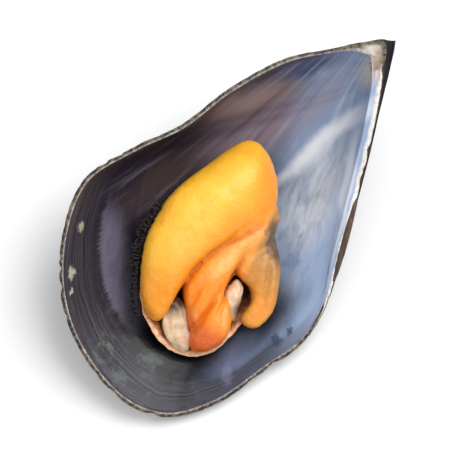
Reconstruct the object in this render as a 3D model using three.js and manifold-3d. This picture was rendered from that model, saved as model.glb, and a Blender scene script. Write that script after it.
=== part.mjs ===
// A cooked mussel on the half shell: one valve, lying hollow side up, with its meat in it.
//
// Everything is shaped in the shell's own frame and then laid down as it rests on a table.
// Shell frame, millimetres: x from the beak to the wide end, y towards the hinge side,
// z out of the hollow. The rim lies in the plane z = 0.
import * as THREE from "three";
import { mergeVertices } from "three/addons/utils/BufferGeometryUtils.js";
import Module from "manifold-3d";

const wasm = await Module();
wasm.setup();

// ---- driving dimensions, millimetres and degrees ------------------------------------------

// The rim, from the beak along the belly side, round the wide end and back along the hinge side.
const RIM = [
  [0, 0], [2.6, -2.9], [6.8, -6.6], [13.4, -11.9], [23.2, -16.2], [32.8, -18.8], [40.5, -22.7],
  [50.3, -26], [62.5, -21.5], [70.8, -13], [75, 0], [73, 8.3], [66, 14], [56, 17.4],
  [49.9, 19.4], [42.8, 19.1], [25.5, 12.9], [11.5, 6.8], [3, 2.2],
];
const HINGE_ANGLE = 27.5; // the hinge line's slope in the rim plane
const BEAK = new THREE.Vector2(-1, 1.2); // where the outside starts to grow
const HOLLOW_BEAK = new THREE.Vector2(3.4, 1.3); // where the hollow's narrow end closes
const COIL = 0.85; // how fast the valve coils about the hinge line as it grows
const COIL_START = 0.12; // keeps the coil finite at the beak
const RIM_CURL = 0.15; // extra steepness near the rim
const DIP_AT = 32; // the rim dips in here on the belly side, but did not when it was young
const DIP_REACH = 10;
const DIP_FILL = 3;
const RIM_WALL = 0.8; // wall at the rim
const HINGE_WALL = 1.3; // added to the rim's wall along the hinge
const HINGE_REACH = 6; // how far from the hinge line that extra wall fades out
const HINGE_END = 44; // distance from the beak where the hinge ends
const TIP_FILL = 2.2; // extra wall inside the beak
const TIP_REACH = 9; // how far that extra wall reaches
const HOLLOW_DEPTH = 0.93; // the hollow's depth as a share of the outside's

const LIGAMENT_FROM = 27; // distance from the beak
const LIGAMENT_TO = 42;
const LIGAMENT_WIDTH = 1.2;
const LIGAMENT_HEIGHT = 1.6;
const LIGAMENT_PROUD = 0.3; // how far it stands above the rim
const LIGAMENT_OVERHANG = 0.25; // and out past the rim's edge
const LIGAMENT_ENDS = 0.35; // its thickness at the ends, as a share of the middle's
const GAP = 0.3; // clearance between touching pieces
const BED_CLEARANCE = 0.5; // more, up and down, because the beds slope
const EDGE_MARGIN = [0.98, 1.03]; // the strip kept clear at the skirt's edge, as shares of its outline
const FAR = 40; // well clear of everything, above or below

const REST_TILT = 21.4; // the rim plane's slope on the table
const REST_UPHILL = 240.5; // the direction in the rim plane that rises
const WORN_FLAT = 0.35; // depth worn off the outside where it rests

const SKIRT = {
  outline: [
    [29, -6], [35.5, -10.6], [44, -12.9], [50.5, -12.2], [56.6, -9.2], [61.4, -5],
    [63.7, 0.5], [63, 5.4], [59.5, 8.8], [54, 9.8], [47.5, 9.6], [40, 5.8], [33, 1.5],
  ],
  centre: [47, -1.5],
  thickness: 0.9,
  lip: -2, // height of the free edge at the wide end
  lipDrop: 7, // how much lower it is at the beak end
  turnsUp: 0.7, // where the edge starts to rise, as a share of the way out
};
// The stretch of the hollow's floor that the meat lies over.
const FLOOR_BED = [[22, -8], [36, -15], [55, -17], [68, -4], [66, 8], [52, 14], [38, 11], [26, 4]];
const LOBE_SLOPE = 0.2; // how steeply the lobes' edges drop towards the beak
// Each lobe: its outline from above, the point it swells round, and three heights.
const LOBES = {
  mantle_lobe: {
    outline: [
      [27.6, -7.4], [35.6, -10.6], [43, -12.2], [50.4, -11.4], [56.2, -8.4], [59.8, -5.2],
      [60.8, -2.4], [55, -2.9], [49.6, -3], [42.8, -1.2], [35, 2], [31.5, 0.6], [27.7, -4],
    ],
    centre: [44, -6.5], crown: 3.2, edge: -2, foot: -12, colour: 0xf7a823,
  },
  body_lobe: {
    outline: [
      [37, 3.1], [42.9, 0.3], [48.6, -1.3], [53, -1.4], [55.4, 0.4], [58, 3.3], [60.6, 5.8],
      [57.4, 7.9], [54, 7.2], [50.6, 3.9], [46, 3.2], [42, 3.9], [38.6, 4.3],
    ],
    centre: [51, 1.4], crown: 1.8, edge: -2.4, foot: -12, colour: 0xf28a1c,
  },
  mantle_flap: {
    outline: [
      [38.6, 5], [42, 4.6], [46, 3.9], [46.8, 7.3], [49, 9.1], [52, 9.2], [51.8, 11.4],
      [48.2, 12], [45, 10.8], [41, 8.4],
    ],
    centre: [45.6, 8.4], crown: 0.6, edge: -2.2, foot: -9, colour: 0xd98e3c,
  },
  adductor_muscle: {
    outline: [[56.4, -1.9], [59.6, -1.5], [61.8, 0.4], [62.4, 4.6], [61.2, 5.3], [58.6, 3.2], [56.2, 0.6]],
    centre: [59.4, 1.2], crown: -0.6, edge: -2.6, foot: -8, colour: 0xe9c9a6,
  },
  gill_fold: {
    outline: [[47, 4], [50.2, 4.5], [53.4, 7.6], [52.4, 8.6], [49.3, 8.2], [47.3, 6.4]],
    centre: [50, 6.4], crown: -0.8, edge: -2.8, foot: -7, colour: 0xead2ae,
  },
};

// ---- the mesh's fineness -------------------------------------------------------------------

const RIM_STEPS = 64;
const OUTSIDE_RINGS = 19;
const HOLLOW_RINGS = 14;
const SMALLEST_RING = 0.03; // as a share of the rim
const SMALLEST_HOLLOW_RING = 0.06;
const LOBE_STEPS = 26;
const LOBE_RINGS = 5;
const SKIRT_STEPS = 34;
const BED_STEPS = 48;
const SKIRT_RINGS = 7;
const LIGAMENT_STEPS = 10;
const LIGAMENT_SIDES = 8;

// ---- helpers -------------------------------------------------------------------------------

const hinge = new THREE.Vector2(1, 0).rotateAround(new THREE.Vector2(), THREE.MathUtils.degToRad(HINGE_ANGLE));
const belly = new THREE.Vector2(hinge.y, -hinge.x); // across the rim, away from the hinge line

// A closed curve through points in the rim plane, as evenly spaced points.
function closedOutline(points, steps) {
  const curve = new THREE.CatmullRomCurve3(
    points.map(([x, y]) => new THREE.Vector3(x, y, 0)), true, "centripetal");
  curve.arcLengthDivisions = 40 * points.length;
  return curve.getSpacedPoints(steps).slice(0, steps).map((p) => new THREE.Vector2(p.x, p.y));
}

// Joins rings of equal length into one closed body, with a fan over the first and the last.
function bodyOfRings(rings) {
  const steps = rings[0].length;
  const points = rings.flat();
  const faces = [];
  for (let i = 0; i + 1 < rings.length; i++) {
    for (let j = 0; j < steps; j++) {
      const [a, b] = [i * steps + j, i * steps + ((j + 1) % steps)];
      faces.push(a, b, b + steps, a, b + steps, a + steps);
    }
  }
  const middle = (ring) => ring.reduce((sum, p) => sum.add(p), new THREE.Vector3()).divideScalar(steps);
  const [first, last] = [points.length, points.length + 1];
  points.push(middle(rings[0]), middle(rings.at(-1)));
  const lastRing = (rings.length - 1) * steps;
  for (let j = 0; j < steps; j++) {
    const k = (j + 1) % steps;
    faces.push(first, k, j, last, lastRing + j, lastRing + k);
  }
  return new THREE.BufferGeometry().setFromPoints(points).setIndex(faces);
}

// ---- booleans ------------------------------------------------------------------------------

function solidOf(geometry) {
  const bare = geometry.clone();
  bare.deleteAttribute("normal");
  bare.deleteAttribute("uv");
  const merged = mergeVertices(bare, 1e-4);
  return new wasm.Manifold(new wasm.Mesh({
    numProp: 3,
    vertProperties: merged.attributes.position.array,
    triVerts: new Uint32Array(merged.index.array),
  }));
}

function geometryOf(solid) {
  const mesh = solid.getMesh();
  return new THREE.BufferGeometry()
    .setAttribute("position", new THREE.BufferAttribute(mesh.vertProperties, 3))
    .setIndex(new THREE.BufferAttribute(mesh.triVerts, 1));
}

// ---- the valve -----------------------------------------------------------------------------

// A younger growth stage of the rim: shrunk towards its beak and turned down about the hinge.
function growthRing(rim, beak, size, depth) {
  const turn = COIL * Math.log((1 + COIL_START) / (size + COIL_START)) + RIM_CURL * (1 - size ** 4);
  return rim.map((p) => {
    const dip = p.y < 0 ? DIP_FILL * (1 - size) * Math.exp(-(((p.x - DIP_AT) / DIP_REACH) ** 2)) : 0;
    const from = p.clone().sub(beak).add(new THREE.Vector2(0, -dip));
    const along = size * from.dot(hinge);
    const across = size * from.dot(belly);
    const flat = beak.clone().addScaledVector(hinge, along).addScaledVector(belly, across * Math.cos(turn));
    return new THREE.Vector3(flat.x, flat.y, -depth * across * Math.sin(turn));
  });
}

// The hollow's rim: the outer rim moved in by the wall, more along the hinge and in the tip.
function hollowRim(rim) {
  return rim.map((p, i) => {
    const along = rim[(i + 1) % rim.length].clone().sub(rim.at(i - 1)).normalize();
    const inward = new THREE.Vector2(-along.y, along.x);
    const from = p.clone().sub(BEAK);
    const fromHinge = from.dot(belly) / HINGE_REACH;
    const past = THREE.MathUtils.smoothstep(from.dot(hinge), HINGE_END - HINGE_REACH, HINGE_END + HINGE_REACH);
    const wall = RIM_WALL + HINGE_WALL * Math.exp(-(fromHinge ** 2)) * (1 - past);
    const tip = Math.max(0, 1 - p.length() / TIP_REACH) ** 2;
    return p.clone().addScaledVector(inward, wall).add(new THREE.Vector2(TIP_FILL * tip, 0));
  });
}

function sizes(from, to, count) {
  return Array.from({ length: count }, (_, i) => THREE.MathUtils.lerp(from, to, i / (count - 1)));
}

const rim = closedOutline(RIM, RIM_STEPS);
const hollowRings = sizes(1, SMALLEST_HOLLOW_RING, HOLLOW_RINGS)
  .map((size) => growthRing(hollowRim(rim), HOLLOW_BEAK, size, HOLLOW_DEPTH));

function valve() {
  const outside = sizes(SMALLEST_RING, 1, OUTSIDE_RINGS).map((size) => growthRing(rim, BEAK, size, 1));
  return bodyOfRings([...outside, ...hollowRings]);
}

// ---- the ligament --------------------------------------------------------------------------

// A strip along the hinge margin. grow widens it all round, and lengthens it by more than one
// point of the margin, which makes its seat in the valve.
function ligament(grow) {
  const [from, to] = [LIGAMENT_FROM - 3 * grow, LIGAMENT_TO + 3 * grow];
  const margin = closedOutline(RIM, 4 * RIM_STEPS)
    .filter((p) => p.y > 0 && p.length() > from && p.length() < to)
    .sort((a, b) => a.length() - b.length());
  const rings = [];
  for (let i = 0; i <= LIGAMENT_STEPS; i++) {
    const share = i / LIGAMENT_STEPS;
    const at = margin[Math.round(share * (margin.length - 1))];
    const taper = LIGAMENT_ENDS + (1 - LIGAMENT_ENDS) * Math.sqrt(Math.sin(Math.PI * Math.min(share, 1 - share)));
    const wide = (LIGAMENT_WIDTH / 2) * taper + grow;
    const tall = (LIGAMENT_HEIGHT / 2) * taper + grow;
    const centre = at.clone().addScaledVector(belly, LIGAMENT_WIDTH / 2 - LIGAMENT_OVERHANG);
    rings.push(Array.from({ length: LIGAMENT_SIDES }, (_, j) => {
      const angle = (-2 * Math.PI * (j + 0.5)) / LIGAMENT_SIDES;
      const p = centre.clone().addScaledVector(belly, wide * Math.cos(angle));
      return new THREE.Vector3(p.x, p.y, LIGAMENT_PROUD - LIGAMENT_HEIGHT / 2 + tall * Math.sin(angle));
    }));
  }
  return bodyOfRings(rings);
}

// ---- the meat ------------------------------------------------------------------------------

// A body between two height fields over one outline: under(x, y, r) and over(x, y, r), with r
// from 0 at the centre to 1 at the edge.
function bodyOverOutline(outline, centre, steps, rings, under, over) {
  const edge = closedOutline(outline, steps);
  const middle = new THREE.Vector2(...centre);
  const layer = (height, r) => edge.map((p) => {
    const at = middle.clone().lerp(p, r);
    return new THREE.Vector3(at.x, at.y, height(at.x, at.y, r));
  });
  const shares = sizes(1 / rings, 1, rings).map((r) => Math.sin((r * Math.PI) / 2));
  const lower = shares.map((r) => layer(under, r));
  const upper = shares.map((r) => layer(over, r)).reverse();
  return bodyOfRings([...lower, ...upper]);
}

const hollow = new THREE.Mesh(
  bodyOfRings([...hollowRings].reverse()), new THREE.MeshBasicMaterial({ side: THREE.DoubleSide }));

// The hollow's floor at a place. The fan over its rim lies above it, so the lowest hit counts.
function floorHeight(x, y) {
  const ray = new THREE.Raycaster(new THREE.Vector3(x, y, FAR), new THREE.Vector3(0, 0, -1));
  return ray.intersectObject(hollow).at(-1)?.point.z ?? 0;
}

// The skirt is a shallow dish on the hollow's floor, whose edge turns up to the lip.
function skirtUnder(x, y, r) {
  const rise = THREE.MathUtils.smoothstep(r, SKIRT.turnsUp, 1) ** 1.5;
  const rest = floorHeight(x, y) + GAP;
  const low = 1 - THREE.MathUtils.smoothstep(x, SKIRT.outline[0][0], SKIRT.centre[0]);
  return rest + Math.max(0, SKIRT.lip - SKIRT.lipDrop * low - SKIRT.thickness - rest) * rise;
}

const skirtOver = (x, y, r) => skirtUnder(x, y, r) + SKIRT.thickness;
const deepDown = () => -FAR;

// The top of a strip round the skirt's edge.
const lipHeight = (x, y) => skirtOver(x, y, 1) + GAP;

// A body straight up from far below to a height, over the skirt's outline made larger or smaller.
function skirtColumn(share, height) {
  const [x, y] = SKIRT.centre;
  return solidOf(
    bodyOverOutline(SKIRT.outline, SKIRT.centre, SKIRT_STEPS, SKIRT_RINGS, deepDown, height)
      .translate(-x, -y, 0).scale(share, share, 1).translate(x, y, 0));
}

// What every lobe keeps clear of: the ground under the hollow's floor, and the skirt with a
// margin round its edge.
function beds() {
  const floor = bodyOverOutline(
    FLOOR_BED, SKIRT.centre, BED_STEPS, SKIRT_RINGS, deepDown, (x, y) => floorHeight(x, y) + BED_CLEARANCE);
  const dish = bodyOverOutline(
    SKIRT.outline, SKIRT.centre, SKIRT_STEPS, SKIRT_RINGS, deepDown,
    (x, y, r) => skirtOver(x, y, r) + BED_CLEARANCE);
  const [inner, outer] = EDGE_MARGIN;
  const edge = skirtColumn(outer, lipHeight).subtract(skirtColumn(inner, () => FAR));
  return solidOf(floor).add(solidOf(dish)).add(edge);
}

// A swollen lobe, cut to lie on its bed. It slopes down towards the beak.
function lobe({ outline, centre, crown, edge, foot }, bed) {
  const swell = (r) => Math.sqrt(Math.max(0, 1 - r * r));
  const level = (x, r) => edge + LOBE_SLOPE * Math.min(0, x - centre[0]) * r;
  const under = (x, y, r) => level(x, r) + (foot - edge) * swell(r);
  const over = (x, y, r) => level(x, r) + (crown - edge) * swell(r);
  const whole = solidOf(bodyOverOutline(outline, centre, LOBE_STEPS, LOBE_RINGS, under, over));
  const cut = whole.subtract(bed).decompose();
  return geometryOf(cut.reduce((most, body) => (body.volume() > most.volume() ? body : most)));
}

// ---- laying it down and putting it together ------------------------------------------------

const uphill = THREE.MathUtils.degToRad(REST_UPHILL);
const tilt = THREE.MathUtils.degToRad(REST_TILT);
const restUp = new THREE.Vector3(
  Math.cos(uphill) * Math.sin(tilt), Math.sin(uphill) * Math.sin(tilt), Math.cos(tilt));
const laidDown = new THREE.Quaternion().setFromUnitVectors(restUp, new THREE.Vector3(0, 0, 1));

function part(name, geometry, colour, roughness) {
  const material = new THREE.MeshStandardMaterial({ color: colour, roughness, metalness: 0 });
  const mesh = new THREE.Mesh(geometry.applyQuaternion(laidDown), material);
  mesh.name = name;
  return mesh;
}

// The valve with the ligament's seat cut out, and worn flat where it rests.
function shellValve() {
  const seated = geometryOf(solidOf(valve()).subtract(solidOf(ligament(GAP))));
  const mesh = part("shell_valve", seated, 0x5a6478, 0.35);
  mesh.geometry.computeBoundingBox();
  const { min, max } = mesh.geometry.boundingBox;
  const size = max.clone().sub(min).addScalar(10);
  const ground = new THREE.BoxGeometry(size.x, size.y, size.z);
  const middle = min.clone().add(max).divideScalar(2);
  ground.translate(middle.x, middle.y, min.z + WORN_FLAT - size.z / 2);
  mesh.geometry = geometryOf(solidOf(mesh.geometry).subtract(solidOf(ground)));
  return mesh;
}

const mussel = new THREE.Group();
mussel.add(shellValve());
mussel.add(part("hinge_ligament", ligament(0), 0x4a2c16, 0.5));

const skirt = bodyOverOutline(
  SKIRT.outline, SKIRT.centre, SKIRT_STEPS, SKIRT_RINGS, skirtUnder, skirtOver);
mussel.add(part("mantle_skirt", skirt, 0xd9a27c, 0.35));
const bed = beds();
for (const [name, shape] of Object.entries(LOBES)) {
  mussel.add(part(name, lobe(shape, bed), shape.colour, 0.3));
}

// The origin is under the middle of the whole thing, on the table.
const whole = new THREE.Box3().setFromObject(mussel);
const middle = whole.getCenter(new THREE.Vector3());
mussel.position.set(-middle.x, -middle.y, -whole.min.z);

export default mussel;
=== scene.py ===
"""A cooked mussel on the half shell: the right valve, hollow side up, with its meat in it."""

import math

import bpy
import numpy as np
from bpy.props import FloatProperty, FloatVectorProperty, IntProperty, PointerProperty
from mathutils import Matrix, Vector, noise
from mathutils.bvhtree import BVHTree


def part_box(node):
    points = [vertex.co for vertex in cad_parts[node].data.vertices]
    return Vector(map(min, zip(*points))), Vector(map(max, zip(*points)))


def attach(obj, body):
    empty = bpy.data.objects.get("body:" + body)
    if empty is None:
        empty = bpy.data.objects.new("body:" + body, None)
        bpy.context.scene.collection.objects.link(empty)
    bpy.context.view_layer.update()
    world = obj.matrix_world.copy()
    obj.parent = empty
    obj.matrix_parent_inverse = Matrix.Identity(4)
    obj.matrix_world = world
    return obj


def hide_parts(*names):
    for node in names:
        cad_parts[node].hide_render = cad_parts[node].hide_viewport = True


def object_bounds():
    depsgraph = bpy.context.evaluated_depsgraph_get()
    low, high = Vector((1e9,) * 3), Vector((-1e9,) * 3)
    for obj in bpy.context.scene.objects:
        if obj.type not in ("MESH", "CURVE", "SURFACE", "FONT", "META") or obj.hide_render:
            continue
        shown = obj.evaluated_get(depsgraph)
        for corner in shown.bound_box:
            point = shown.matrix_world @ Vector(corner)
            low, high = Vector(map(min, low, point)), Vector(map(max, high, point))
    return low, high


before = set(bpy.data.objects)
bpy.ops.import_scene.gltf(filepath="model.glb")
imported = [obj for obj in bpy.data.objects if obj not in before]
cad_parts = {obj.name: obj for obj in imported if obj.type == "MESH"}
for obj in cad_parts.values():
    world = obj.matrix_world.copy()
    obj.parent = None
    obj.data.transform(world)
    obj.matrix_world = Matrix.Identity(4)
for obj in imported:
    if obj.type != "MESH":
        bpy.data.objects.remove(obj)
CAD_BOX = [list(corner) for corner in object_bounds()]
VALVE_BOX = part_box("shell_valve")

bl_info = {
    "name": "Mussel on the half shell",
    "version": (1, 0, 0),
    "blender": (4, 5, 0),
    "location": "3D View > Sidebar > Mussel",
    "description": "Builds a cooked mussel in one valve, laid down as it rests on a table",
    "category": "Object",
}

# ---- the shell's own frame, in millimetres --------------------------------------------------
# x from the beak to the wide end, y towards the hinge side, z out of the hollow. The rim lies
# in the plane z = 0. The outlines, the walls and the rest place are the solid model's.

MM = 0.001
RIM = [
    [0, 0], [2.6, -2.9], [6.8, -6.6], [13.4, -11.9], [23.2, -16.2], [32.8, -18.8], [40.5, -22.7],
    [50.3, -26], [62.5, -21.5], [70.8, -13], [75, 0], [73, 8.3], [66, 14], [56, 17.4],
    [49.9, 19.4], [42.8, 19.1], [25.5, 12.9], [11.5, 6.8], [3, 2.2],
]
HINGE_ANGLE = 27.5
BEAK = np.array([-1, 1.2])
HOLLOW_BEAK = np.array([3.4, 1.3])
COIL = 0.85
COIL_START = 0.12
RIM_CURL = 0.15
DIP_AT = 32
DIP_REACH = 10
DIP_FILL = 3
RIM_WALL = 0.8
HINGE_WALL = 1.3
HINGE_REACH = 6
HINGE_END = 44
TIP_FILL = 2.2
TIP_REACH = 9
HOLLOW_DEPTH = 0.93
SMALLEST_RING = 0.03
SMALLEST_HOLLOW_RING = 0.06
SOLID_RIM_STEPS = 64  # the solid model's fineness, used to find where it was laid down
SOLID_OUTSIDE_RINGS = 19

REST_TILT = 21.4
REST_UPHILL = 240.5

LIGAMENT_FROM = 27
LIGAMENT_TO = 42
LIGAMENT_WIDTH = 1.2
LIGAMENT_HEIGHT = 1.6
LIGAMENT_PROUD = 0.3
LIGAMENT_OVERHANG = 0.25
LIGAMENT_ENDS = 0.35

SKIRT_OUTLINE = [
    [29, -6], [35.5, -10.6], [44, -12.9], [50.5, -12.2], [56.6, -9.2], [61.4, -5],
    [63.7, 0.5], [63, 5.4], [59.5, 8.8], [54, 9.8], [47.5, 9.6], [40, 5.8], [33, 1.5],
]
SKIRT_CENTRE = np.array([47, -1.5])
SKIRT_LIP = -2
SKIRT_LIP_DROP = 7
SKIRT_TURNS_UP = 0.7

# Each lobe: its outline, the x from which it sinks towards the beak, the heights of its crown,
# edge and foot, how far it grows past the outline, how blunt its sides are, how high its broad
# and small lumps stand, and its creases as start, end, depth and width.
LOBE_SLOPE = 0.2
MANTLE_LOBE = dict(
    outline=[
        [27.6, -7.4], [35.6, -10.6], [43, -12.2], [50.4, -11.4], [56.2, -8.4], [59.8, -5.2],
        [60.8, -2.4], [55, -2.9], [49.6, -3], [42.8, -1.2], [35, 2], [31.5, 0.6], [27.7, -4],
    ],
    slopes_from=44, crown=3.2, edge=-2, foot=-12, grow=0.6, fullness=0.72, broad=0.25, small=0.1,
    creases=[((33, -5), (55, -7.5), 0.16, 1.6)],
)
BODY_LOBE = dict(
    outline=[
        [34, 3], [37, 0.6], [42.9, -0.6], [48.6, -1.6], [53, -1.5], [55.4, 0.4], [58, 3.1],
        [60.6, 5.6], [57.6, 7.9], [54, 7.2], [50.6, 3.9], [46, 3.2], [42, 4.2], [38.6, 4.6],
    ],
    slopes_from=51, crown=1.9, edge=-2.4, foot=-12, grow=0.75, fullness=0.72, broad=0.3, small=0.16,
    creases=[
        ((49, 3.0), (60, 3.6), 1.25, 0.6), ((42, 2.4), (55.5, 5.2), 1.2, 0.55),
        ((50, -0.6), (58, 1.2), 0.7, 0.5),
    ],
)
MANTLE_FLAP = dict(
    outline=[
        [38.6, 5], [42, 4.4], [46, 3.9], [46.8, 7.3], [49, 9.1], [52, 9.2], [51.8, 11.4],
        [48.2, 12], [45, 10.8], [41, 8.4],
    ],
    slopes_from=45.6, crown=0.6, edge=-2.2, foot=-9, grow=0.45, fullness=0.75, broad=0.2, small=0.15,
    creases=[((41, 6.6), (49, 10.6), 0.7, 0.55)],
)
ADDUCTOR = dict(
    outline=[
        [56, -2.2], [59.3, -2.0], [61.8, 0.1], [62.8, 3.2], [62.3, 5], [60.6, 4.6], [58.4, 2.8],
        [56.2, 0.7],
    ],
    slopes_from=59.4, crown=-1.3, edge=-2.3, foot=-8, grow=0.0, fullness=0.55, broad=0.2, small=0.3,
    creases=[],
)
GILL_FOLD = dict(
    outline=[[47.3, 4.6], [50.4, 4.3], [53.4, 6.6], [53.2, 8], [50.8, 7.3], [48, 6.1]],
    slopes_from=50, crown=-0.8, edge=-2.2, foot=-7, grow=0.1, fullness=0.6, broad=0.2, small=0.3,
    creases=[],
)
MEAT_SPACE = ((26, -14, -13), (63, 13.5, 4.4))  # two corners that the lobes fit between
PALE_MEAT_SPACE = ((45, -4, -8), (64, 10.5, 1))
MEAT_CLEARANCE = 0.2  # between the lobes and the bed that they lie on

hinge_angle = math.radians(HINGE_ANGLE)
hinge = np.array([math.cos(hinge_angle), math.sin(hinge_angle)])
belly = np.array([hinge[1], -hinge[0]])


def smoothstep(x, low, high):
    t = np.clip((np.asarray(x, float) - low) / (high - low), 0, 1)
    return t * t * (3 - 2 * t)


def closed_outline(points, steps):
    """A closed centripetal curve through the points, as evenly spaced points."""
    p = np.array(points, float)
    before, after, later = np.roll(p, 1, 0), np.roll(p, -1, 0), np.roll(p, -2, 0)

    def spacing(a, b):
        return np.sqrt(np.linalg.norm(b - a, axis=1))[:, None]

    d0, d1, d2 = spacing(before, p), spacing(p, after), spacing(after, later)
    start = ((p - before) / d0 - (after - before) / (d0 + d1) + (after - p) / d1) * d1
    end = ((after - p) / d1 - (later - p) / (d1 + d2) + (later - after) / d2) * d1
    t = np.linspace(0, 1, 60, endpoint=False)[None, :, None]
    p, after, start, end = (a[:, None, :] for a in (p, after, start, end))
    fine = (
        p * (2 * t**3 - 3 * t**2 + 1)
        + start * (t**3 - 2 * t**2 + t)
        + after * (3 * t**2 - 2 * t**3)
        + end * (t**3 - t**2)
    ).reshape(-1, 2)
    fine = np.vstack([fine, fine[:1]])
    length = np.concatenate([[0], np.cumsum(np.linalg.norm(np.diff(fine, axis=0), axis=1))])
    at = np.linspace(0, length[-1], steps, endpoint=False)
    return np.stack([np.interp(at, length, fine[:, k]) for k in (0, 1)], 1)


def inward(outline):
    along = np.roll(outline, -1, 0) - np.roll(outline, 1, 0)
    along /= np.linalg.norm(along, axis=1)[:, None]
    return np.stack([-along[:, 1], along[:, 0]], 1)


def growth_rings(rim, beak, size, depth):
    """Younger stages of the rim, shrunk towards the beak and turned down about the hinge."""
    size = np.asarray(size, float)[:, None]
    turn = COIL * np.log((1 + COIL_START) / (size + COIL_START)) + RIM_CURL * (1 - size**4)
    dip = DIP_FILL * (1 - size) * np.exp(-(((rim[:, 0] - DIP_AT) / DIP_REACH) ** 2))
    dip = np.where(rim[:, 1] < 0, dip, 0)
    from_x = rim[None, :, 0] - beak[0]
    from_y = rim[None, :, 1] - beak[1] - dip
    along = size * (from_x * hinge[0] + from_y * hinge[1])
    across = size * (from_x * belly[0] + from_y * belly[1])
    flat = across * np.cos(turn)
    return np.stack([
        beak[0] + hinge[0] * along + belly[0] * flat,
        beak[1] + hinge[1] * along + belly[1] * flat,
        -depth * across * np.sin(turn),
    ], 2)


def hollow_rim(rim):
    from_beak = rim - BEAK
    near_hinge = np.exp(-((from_beak @ belly / HINGE_REACH) ** 2))
    past = smoothstep(from_beak @ hinge, HINGE_END - HINGE_REACH, HINGE_END + HINGE_REACH)
    wall = RIM_WALL + HINGE_WALL * near_hinge * (1 - past)
    tip = np.maximum(0, 1 - np.linalg.norm(rim, axis=1) / TIP_REACH) ** 2
    moved = rim + inward(rim) * wall[:, None]
    moved[:, 0] += TIP_FILL * tip
    return moved


def find_rest():
    """The turn and the shift that lay the shell's frame down as the solid model lies."""
    uphill, tilt = math.radians(REST_UPHILL), math.radians(REST_TILT)
    rest_up = Vector((
        math.cos(uphill) * math.sin(tilt), math.sin(uphill) * math.sin(tilt), math.cos(tilt),
    ))
    turn = np.array(rest_up.rotation_difference(Vector((0, 0, 1))).to_matrix())
    size = np.linspace(SMALLEST_RING, 1, SOLID_OUTSIDE_RINGS)
    coarse = growth_rings(closed_outline(RIM, SOLID_RIM_STEPS), BEAK, size, 1).reshape(-1, 3)
    laid = coarse @ turn.T * MM
    low, high = np.array(VALVE_BOX[0]), np.array(VALVE_BOX[1])
    shift = (low + high) / 2 - (laid.min(0) + laid.max(0)) / 2
    shift[2] = high[2] - laid[:, 2].max()
    return turn, shift


REST_TURN, REST_SHIFT = find_rest()


def lay_down(points):
    """Points of the shell's frame, as they lie on the table, in metres."""
    return np.asarray(points, float) @ REST_TURN.T * MM + REST_SHIFT


def ripple(points, scale, seed):
    """Smooth noise from about -1 to 1 at each point, which may be flat."""
    move = Vector((seed * 7.31, seed * -3.17, seed * 5.53))
    return np.array([noise.noise(Vector(p).to_3d() * scale + move) for p in points.tolist()])


# ---- meshes -----------------------------------------------------------------------------------


def ring_faces(rings, steps):
    """Quads between rings of equal length."""
    i, j = np.meshgrid(np.arange(rings - 1), np.arange(steps), indexing="ij")
    a, b = i * steps + j, i * steps + (j + 1) % steps
    return np.stack([a, b, b + steps, a + steps], 2).reshape(-1, 4).tolist()


def end_fans(rings, steps):
    """Triangles from the two points that follow the rings to the first and the last ring."""
    first, last, start = rings * steps, rings * steps + 1, (rings - 1) * steps
    around = [(j, (j + 1) % steps) for j in range(steps)]
    return [(first, k, j) for j, k in around] + [(last, start + j, start + k) for j, k in around]


def closed_skin(rings):
    """Points and faces over a stack of rings, closed by a fan at each end."""
    count, steps = rings.shape[:2]
    ends = np.array([rings[0].mean(0), rings[-1].mean(0)])
    points = np.concatenate([rings.reshape(-1, 3), ends])
    return points, ring_faces(count, steps) + end_fans(count, steps)


def add_piece(name, points, faces, values, material, nodes):
    """A visible piece from points in the shell's frame, with its named values for the shader."""
    mesh = bpy.data.meshes.new(name)
    mesh.from_pydata(lay_down(points).tolist(), [], faces)
    values = dict(values, place=points)
    for value_name, numbers in values.items():
        numbers = np.asarray(numbers, np.float32)
        vector = numbers.ndim == 2
        kind = "FLOAT_VECTOR" if vector else "FLOAT"
        attribute = mesh.attributes.new(value_name, kind, "POINT")
        attribute.data.foreach_set("vector" if vector else "value", numbers.ravel())
    mesh.validate()
    mesh.shade_smooth()
    mesh.materials.append(material)
    piece = bpy.data.objects.new(name, mesh)
    bpy.context.scene.collection.objects.link(piece)
    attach(piece, "root")
    if nodes:
        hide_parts(*nodes)
    return piece


def soften(piece, times):
    modifier = piece.modifiers.new("soften", "SMOOTH")
    modifier.factor = 0.5
    modifier.iterations = times


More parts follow.
